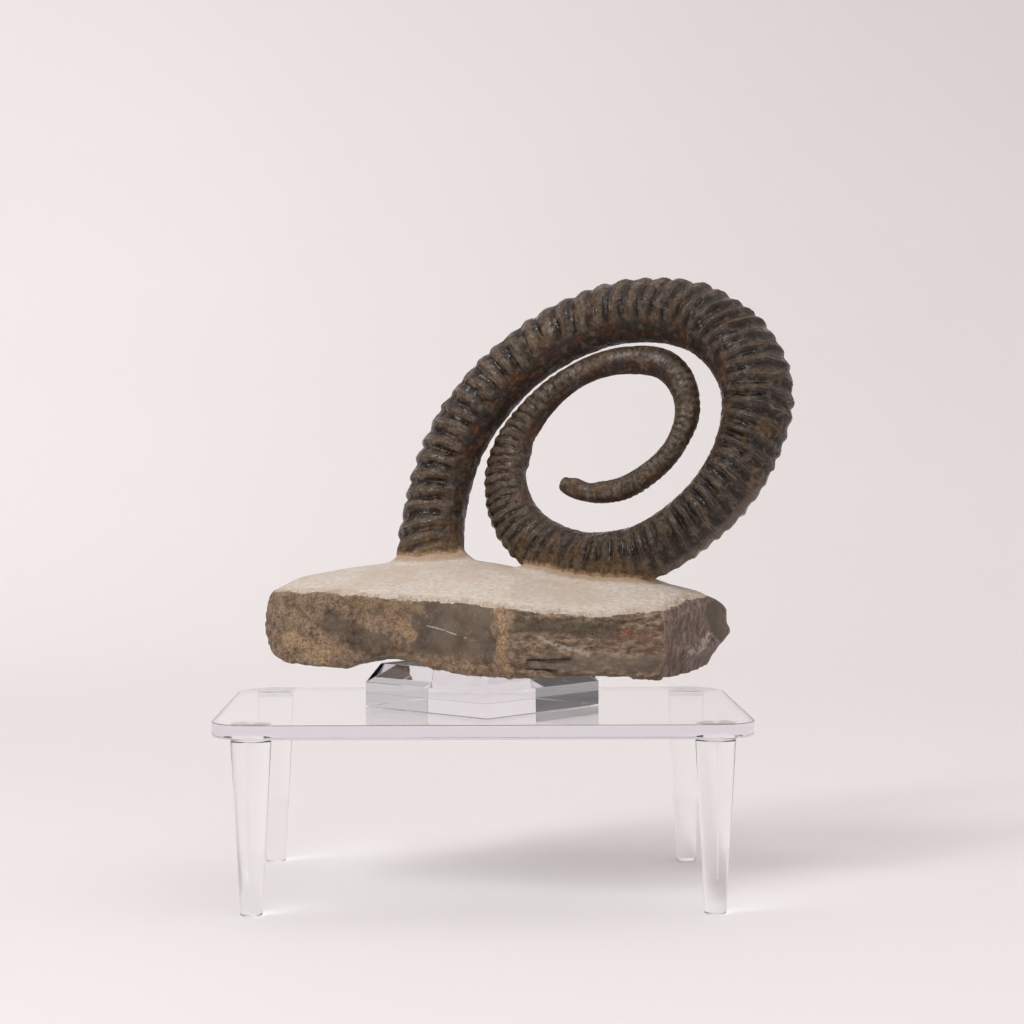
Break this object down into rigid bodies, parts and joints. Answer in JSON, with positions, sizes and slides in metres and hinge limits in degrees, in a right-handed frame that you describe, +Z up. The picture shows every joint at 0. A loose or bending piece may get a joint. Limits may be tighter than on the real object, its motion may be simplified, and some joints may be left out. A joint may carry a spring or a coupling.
{
  "type": "fossil ammonite",
  "caption": "Open-coiled ribbed fossil ammonite standing on its block of matrix, which rests on a bevelled clear acrylic block on a clear riser table with tapered legs.",
  "frame": {"origin": "on the floor, under the middle of the object's bounding box", "axes": "+Z up, +X along the riser table, towards the side that the coil overhangs; the fossil is shown from -Y"},
  "size_m": [0.3344, 0.204, 0.3646],
  "materials": {
    "ammonite_shell": "dark brown-grey, waxed to a low gloss, with rusty stains",
    "matrix_block": "matt: tooled beige top, rough dark brown sides",
    "clear_acrylic": "clear, polished"
  },
  "bodies": {
    "root": {"ammonite_shell": "ammonite_shell", "matrix_block": "matrix_block", "acrylic_block": "clear_acrylic", "riser_top": "clear_acrylic", "riser_leg_front_left": "clear_acrylic", "riser_leg_front_right": "clear_acrylic", "riser_leg_back_left": "clear_acrylic", "riser_leg_back_right": "clear_acrylic"}
  },
  "joints": []
}
